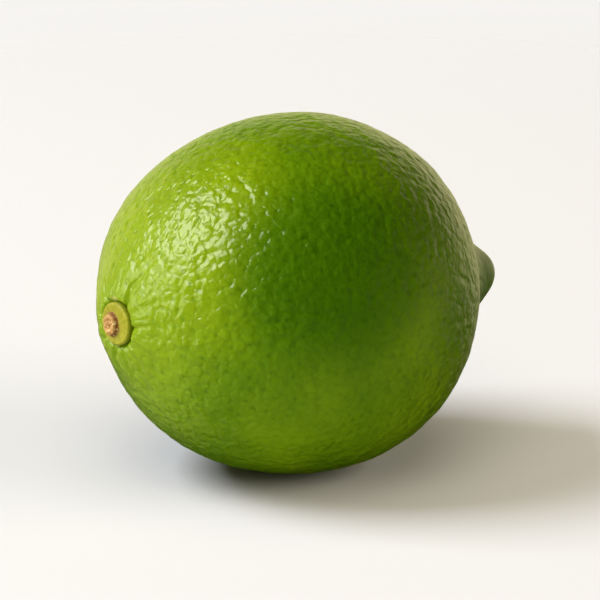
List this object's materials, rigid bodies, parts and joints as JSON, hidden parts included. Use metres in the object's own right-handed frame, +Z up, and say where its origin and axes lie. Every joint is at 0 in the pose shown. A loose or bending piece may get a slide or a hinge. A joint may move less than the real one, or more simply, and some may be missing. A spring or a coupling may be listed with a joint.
{
  "type": "lime",
  "caption": "Whole green Persian lime lying on its belly, with a blunt nipple at one end and a dried stem button in a shallow furrowed cavity at the other.",
  "frame": {"origin": "on the surface that the lime lies on, under the middle of its length and width", "axes": "+X along the fruit's long axis from the stem end to the nipple, which dips 2 degrees; +Z up, away from the surface; +Y completes a right-handed frame"},
  "size_m": [0.0619, 0.05, 0.0494],
  "materials": {
    "lime_rind": "satin",
    "stem_button": "matte"
  },
  "bodies": {
    "root": {"fruit": "lime_rind", "stem_button": "stem_button"}
  },
  "joints": []
}
